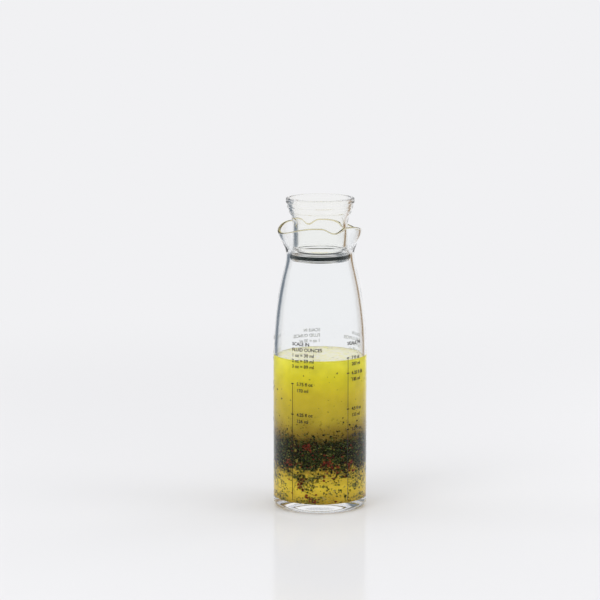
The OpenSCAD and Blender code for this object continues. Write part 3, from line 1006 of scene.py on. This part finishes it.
class BOTTLE_OT_scales(bpy.types.Operator):
    """Print the measuring scales round the body"""

    bl_idname = "bottle.scales"
    bl_label = "Measuring scales"

    def execute(self, context):
        s, p, f = sizes("bottle_glass_sizes"), sizes("bottle_print_sizes"), sizes("bottle_finishes")
        ticks = [[4.25, 5.75], [3.5, 4.5, 6.25, 7], [2.5, 4, 6], [3, 5.25, 6.5], [4, 5.5, 7]]
        all_verts, all_tris, count = [], [], 0
        for i in range(p.count):
            phi = p.first + 2 * math.pi * i / p.count
            for verts, tris in self.scale(p, ticks[i % len(ticks)]):
                all_verts.append(wrap(s, verts, phi))
                all_tris.append(tris + count)
                count += len(verts)
        verts, tris = np.vstack(all_verts), np.vstack(all_tris)
        piece = make_piece("measuring_scales", verts, np.zeros((0, 4), int), tris, [screen_ink(f.ink)], smooth=False)
        deliver(self, piece, "bottle")
        return {"FINISHED"}

    def scale(self, p, ticks):
        """Yields the marks of one scale, flat: its upright line, a tick and its figures for each level, and rows of
        ounces in millilitres over it."""
        ounce_ml = 29.57
        clear = 7 * MM
        top = p.zero_z + p.pitch * ticks[-1]
        yield block(-p.line_w / 2, p.line_w / 2, p.zero_z, top, p.ink, 1)
        for ounces in ticks:
            z = p.zero_z + p.pitch * ounces
            yield block(-p.tick_w / 2, p.tick_w / 2, z - p.tick_h / 2, z + p.tick_h / 2, p.ink, 3)
            for row, text in enumerate([f"{ounces:g} fl oz", f"{ounces * ounce_ml:.0f} ml"]):
                verts, tris = figures(text, p.text_h, p.ink)
                yield verts + [[3 * MM, z - p.text_h / 2 - row * 1.15 * p.row_h, 0]], tris
        rows = int((p.heading_z - top - clear) / p.row_h) + 1
        texts = ["SCALE IN", "FLUID OUNCES"] + [f"{n} oz = {n * ounce_ml:.0f} ml" for n in range(1, rows)]
        for row in range(rows):
            verts, tris = figures(texts[row], p.text_h, p.ink)
            yield verts + [[-p.line_w, p.heading_z - row * p.row_h, 0]], tris


class BOTTLE_OT_stage(bpy.types.Operator):
    """Set the pale floor, the soft light and the camera"""

    bl_idname = "bottle.stage"
    bl_label = "Stage"

    def execute(self, context):
        f = sizes("bottle_finishes")
        self.floor(f)
        self.world(context.scene, f)
        self.lamps()
        self.camera(context.scene)
        context.scene.view_settings.view_transform = "Standard"
        self.bounces(context.scene.cycles)
        return {"FINISHED"}

    def bounces(self, cycles):
        """Light runs to and fro in the thick base many times before it leaves, so paths are allowed to be long."""
        cycles.max_bounces = 32
        cycles.glossy_bounces = 24
        cycles.transmission_bounces = 32

    def floor(self, f):
        """A round pale floor that fades into the background before it reaches the lamps. Seen through the glass it is
        nearly as pale as the backdrop, so that the thick base stays clear."""
        turns = 96
        radii = np.concatenate([np.linspace(0.04, 0.2, 5), np.linspace(0.25, 1.0, 7)])
        r, a = np.meshgrid(radii, even_angles(turns))
        verts = np.stack([r * np.cos(a), r * np.sin(a), r * 0], axis=2).reshape(-1, 3)
        verts = np.vstack([verts, [[0, 0, 0]]])
        rings = len(radii)
        c, k = np.meshgrid(np.arange(turns), np.arange(rings - 1), indexing="ij")
        c2 = (c + 1) % turns
        quads = np.stack([c * rings + k, c * rings + k + 1, c2 * rings + k + 1, c2 * rings + k], axis=2)
        c = np.arange(turns)
        tris = np.column_stack([np.full(turns, turns * rings), c * rings, (c + 1) % turns * rings])
        material, out = new_material("pale_matt_floor")
        tree = material.node_tree
        point = object_point(tree)
        away = add(tree, "VectorMath", {"operation": "LENGTH"}, in0=point).outputs["Value"]
        fade = add(tree, "MapRange", {"interpolation_type": "SMOOTHSTEP"}, Value=away, From_Min=0.2, From_Max=0.75)
        solid = add(tree, "BsdfPrincipled", Base_Color=f.floor, Roughness=0.6, Specular_IOR_Level=0.0)
        gloss = add(tree, "BsdfGlossy", Color=(1, 1, 1, 1), Roughness=0.12)
        top = add(tree, "MixShader", in0=0.09, in1=solid.outputs[0], in2=gloss.outputs[0])
        pale = add(tree, "Emission", Color=f.backdrop, Strength=1.0)
        path = add(tree, "LightPath")
        through = math_node(tree, "MULTIPLY", path.outputs["Is Transmission Ray"], 0.6)
        top = add(tree, "MixShader", in0=through, in1=top.outputs[0], in2=pale.outputs[0])
        clear = add(tree, "BsdfTransparent")
        beyond = add(
            tree, "MixShader", in0=path.outputs["Is Camera Ray"], in1=clear.outputs[0], in2=pale.outputs[0]
        )
        both = add(tree, "MixShader", in0=fade.outputs[0], in1=top.outputs[0], in2=beyond.outputs[0])
        tree.links.new(both.outputs[0], out.inputs["Surface"])
        piece = make_piece("floor", verts, quads.reshape(-1, 4), tris, [material])

    def world(self, scene, f):
        """White all round for the camera. Reflections and refractions see a darker, bluish side on the left of the
        photographed view and a brownish one on its right, which draw the edges of the glass."""
        world = bpy.data.worlds.new("soft_studio")
        scene.world = world
        world.use_nodes = True
        tree = world.node_tree
        tree.nodes.clear()
        direction = add(tree, "TexCoord").outputs["Generated"]
        split = add(tree, "SeparateXYZ", Vector=direction)
        angle = math_node(tree, "ARCTAN2", split.outputs["Y"], split.outputs["X"])
        tone = hex_colour("#FFFFFF")
        for low, high, text in ((92, 134, "#7B858E"), (6, 40, "#A08765")):
            rise = add(
                tree,
                "MapRange",
                {"interpolation_type": "SMOOTHSTEP"},
                Value=angle,
                From_Min=math.radians(low - 4),
                From_Max=math.radians(low + 4),
            )
            fall = add(
                tree,
                "MapRange",
                {"interpolation_type": "SMOOTHSTEP"},
                Value=angle,
                From_Min=math.radians(high + 4),
                From_Max=math.radians(high - 4),
            )
            band = math_node(tree, "MULTIPLY", rise.outputs[0], fall.outputs[0])
            tone = mix_colour(tree, band, tone, hex_colour(text))
        around = add(tree, "Background", Color=mix_colour(tree, 1.0, tone, f.backdrop, "MULTIPLY"), Strength=1.0)
        light = add(tree, "Background", Color=(1, 1, 1, 1), Strength=0.9)
        seen = add(tree, "Background", Color=f.backdrop, Strength=1.0)
        path = add(tree, "LightPath")
        both = add(
            tree, "MixShader", in0=path.outputs["Is Diffuse Ray"], in1=around.outputs[0], in2=light.outputs[0]
        )
        both = add(
            tree, "MixShader", in0=path.outputs["Is Camera Ray"], in1=both.outputs[0], in2=seen.outputs[0]
        )
        out = add(tree, "OutputWorld")
        tree.links.new(both.outputs[0], out.inputs["Surface"])

    def lamps(self):
        """One large soft box over the left shoulder, a weaker one on the right, and a strip behind each side that
        lights the dressing's edges. Only the first shows in reflections."""
        boxes = [
            ("soft_box_left", (-0.9, -0.5, 0.8), 3.0, 0.6),
            ("soft_box_right", (0.8, -0.5, 0.5), 1.8, 0.5),
            ("strip_left", (-0.8, 0.5, 0.2), 1.5, 0.4),
            ("strip_right", (0.85, 0.2, 0.2), 1.35, 0.4),
        ]
        for name, place, power, size in boxes:
            data = bpy.data.lights.new(name, "AREA")
            data.energy = power
            data.size = size
            lamp = bpy.data.objects.new(name, data)
            lamp.location = place
            target = Vector((0, 0, 0.06)) - lamp.location
            lamp.rotation_euler = target.to_track_quat("-Z", "Y").to_euler()
            lamp.visible_glossy = name == "soft_box_left"
            lamp.visible_transmission = False
            bpy.context.scene.collection.objects.link(lamp)

    def camera(self, scene):
        """The photograph's view: 19 degrees to the left of the front lip and 9 degrees above the bottle. The bottle's
        axis stands at pixel column 320 of 600, its top at row 192 and its base at row 512."""
        frame_px, axis_px, top_px, base_px = 600, 320, 192, 512
        azimuth, elevation, distance = FRONT + math.pi / 2, math.radians(9), 1.66
        middle = Vector((0, 0, CAD_HIGH[2] / 2))
        back = Vector(
            (
                math.sin(azimuth) * math.cos(elevation),
                -math.cos(azimuth) * math.cos(elevation),
                math.sin(elevation),
            )
        )
        shown_h = CAD_HIGH[2] * math.cos(elevation) + (CAD_HIGH[0] + CUP_HIGH[0]) * math.sin(elevation)
        metre_px = (base_px - top_px) / shown_h
        data = bpy.data.cameras.new("photo_view")
        data.sensor_width = 36
        data.lens = data.sensor_width * metre_px * distance / frame_px
        data.clip_start, data.clip_end = 0.05, 50
        camera = bpy.data.objects.new("photo_view", data)
        scene.collection.objects.link(camera)
        right = Vector((math.cos(azimuth), math.sin(azimuth), 0))
        up = back.cross(right)
        aim = middle - right * (axis_px - frame_px / 2) / metre_px
        aim += up * ((top_px + base_px) / 2 - frame_px / 2) / metre_px
        camera.location = aim + back * distance
        camera.rotation_euler = back.to_track_quat("Z", "Y").to_euler()
        scene.camera = camera


class BOTTLE_PT_tools(bpy.types.Panel):
    """Sidebar panel that lists the operators and their sizes"""

    bl_label = "Dressing bottle"
    bl_idname = "BOTTLE_PT_tools"
    bl_space_type = "VIEW_3D"
    bl_region_type = "UI"
    bl_category = "Bottle"

    def draw(self, context):
        for operator in OPERATORS:
            self.layout.operator(operator.bl_idname)
        for name, group in GROUPS.items():
            box = self.layout.box()
            box.label(text=group.__doc__)
            for key in group.__annotations__:
                box.prop(getattr(context.scene, name), key)


OPERATORS = [
    BOTTLE_OT_glass,
    BOTTLE_OT_stopper,
    BOTTLE_OT_seal,
    BOTTLE_OT_dressing,
    BOTTLE_OT_herbs,
    BOTTLE_OT_scales,
    BOTTLE_OT_stage,
]


def register():
    for cls in [*GROUPS.values(), *OPERATORS, BOTTLE_PT_tools]:
        bpy.utils.register_class(cls)
    for name, group in GROUPS.items():
        setattr(bpy.types.Scene, name, bpy.props.PointerProperty(type=group))


def unregister():
    for name in GROUPS:
        delattr(bpy.types.Scene, name)
    for cls in [BOTTLE_PT_tools, *OPERATORS[::-1], *list(GROUPS.values())[::-1]]:
        bpy.utils.unregister_class(cls)


def main():
    register()
    bpy.ops.bottle.glass()
    bpy.ops.bottle.stopper()
    bpy.ops.bottle.seal()
    bpy.ops.bottle.dressing()
    bpy.ops.bottle.herbs()
    bpy.ops.bottle.scales()
    bpy.ops.bottle.stage()


if __name__ == "__main__":
    main()
